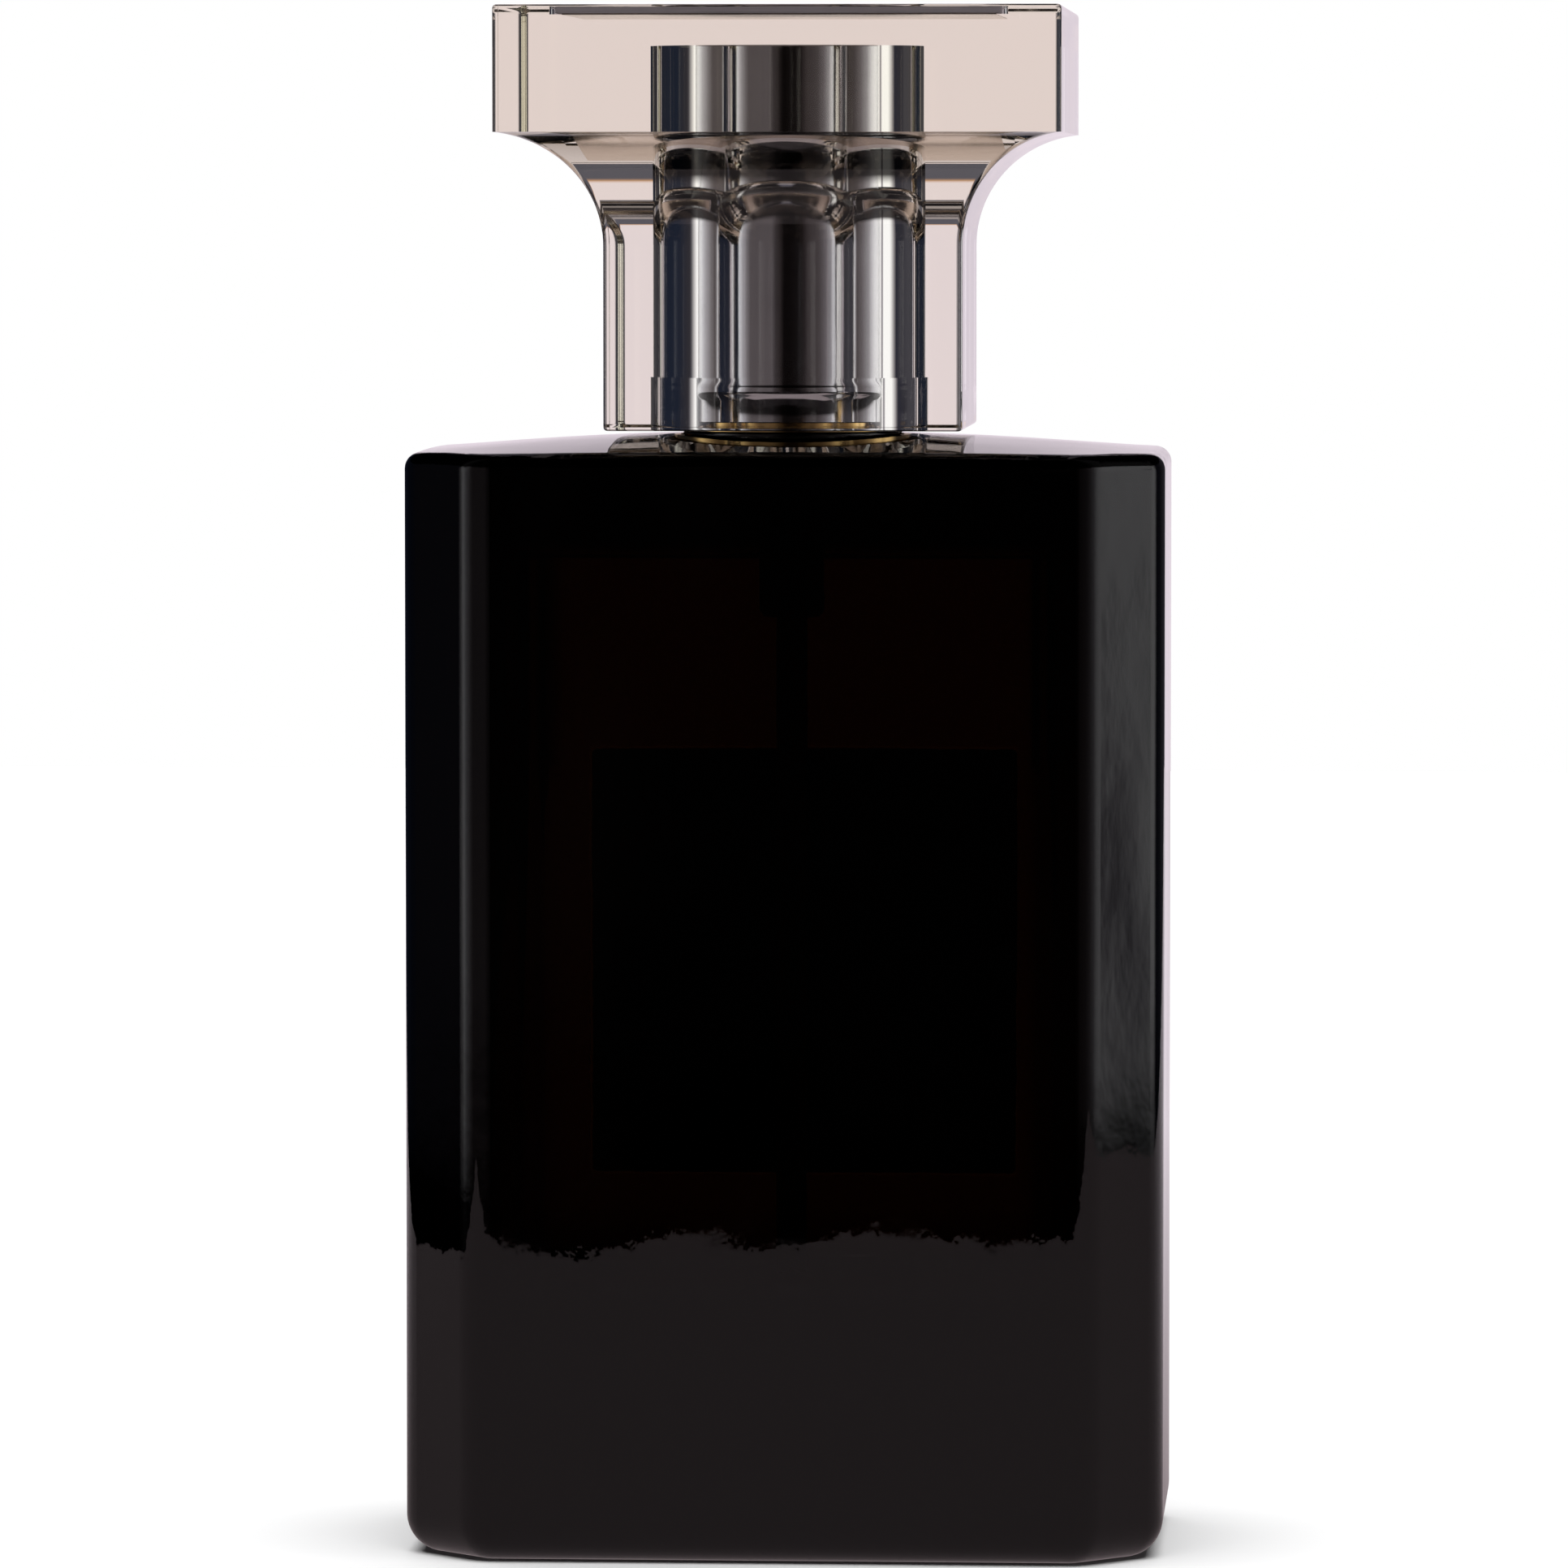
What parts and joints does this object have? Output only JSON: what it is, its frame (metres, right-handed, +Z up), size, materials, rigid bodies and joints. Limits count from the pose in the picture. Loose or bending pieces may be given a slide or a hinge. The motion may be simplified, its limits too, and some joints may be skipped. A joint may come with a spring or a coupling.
{
  "type": "aftershave bottle",
  "caption": "Rectangular dark glass flacon with cut corners, a crimped spray pump and a clear T-shaped cap with a coved waist and a bright metal sleeve inside.",
  "frame": {"origin": "centre of the base, on the surface that the bottle stands on", "axes": "+Z up along the neck, +X along the width of the bottle, +Y towards the face with the label plate"},
  "size_m": [0.051, 0.0376, 0.1039],
  "materials": {
    "amber_glass": "very dark amber moulded glass, fire polished",
    "label_metal": "fine brushed, champagne anodised, blank",
    "adhesive": "thin film of transfer adhesive",
    "gasket_rubber": "smooth elastomer",
    "ferrule_aluminium": "drawn aluminium with rolled edge",
    "gold_metal": "bright gold anodised",
    "natural_plastic": "natural polypropylene",
    "tube_plastic": "extruded translucent tube",
    "steel": "drawn stainless wire and ground ball",
    "black_plastic": "moulded black",
    "clear_acrylic": "polished clear acrylic with a faint warm tint",
    "sleeve_chrome": "mirror bright with fine vertical scratches",
    "liner_plastic": "moulded polypropylene"
  },
  "bodies": {
    "bottle": {"glass_bottle": "amber_glass", "label_plate": "label_metal", "label_glue": "adhesive", "neck_gasket": "gasket_rubber", "crimp_ferrule": "ferrule_aluminium", "pump_collar": "gold_metal", "pump_housing": "natural_plastic", "stem_guide": "natural_plastic", "dip_tube": "tube_plastic"},
    "plunger": {"pump_stem": "natural_plastic", "piston": "natural_plastic", "valve_poppet": "natural_plastic", "return_spring": "steel"},
    "actuator": {"actuator_shell": "gold_metal", "actuator_core": "black_plastic", "nozzle_insert": "black_plastic"},
    "ball": {"inlet_ball": "steel"},
    "cap": {"cap_block": "clear_acrylic", "cap_sleeve": "sleeve_chrome", "cap_liner": "liner_plastic", "cap_top_plate": "label_metal", "cap_plate_glue": "adhesive"}
  },
  "joints": [
    {"name": "cap_lift", "type": "slide", "parent": "bottle", "child": "cap", "axis": [0, 0, 1], "range_m": [0, 0.03]},
    {"name": "spray_press", "type": "slide", "parent": "bottle", "child": "plunger", "axis": [0, 0, -1], "range_m": [0, 0.0036], "stiffness_N_per_m": 1500, "springref_m": -0.004, "deforming": ["return_spring"]},
    {"name": "actuator_turn", "type": "hinge", "parent": "plunger", "child": "actuator", "pos_m": [0, 0, 0.09], "axis": [0, 0, 1], "continuous": true},
    {"name": "inlet_ball_lift", "type": "slide", "parent": "bottle", "child": "ball", "axis": [0, 0, 1], "range_m": [0, 0.0005]}
  ]
}
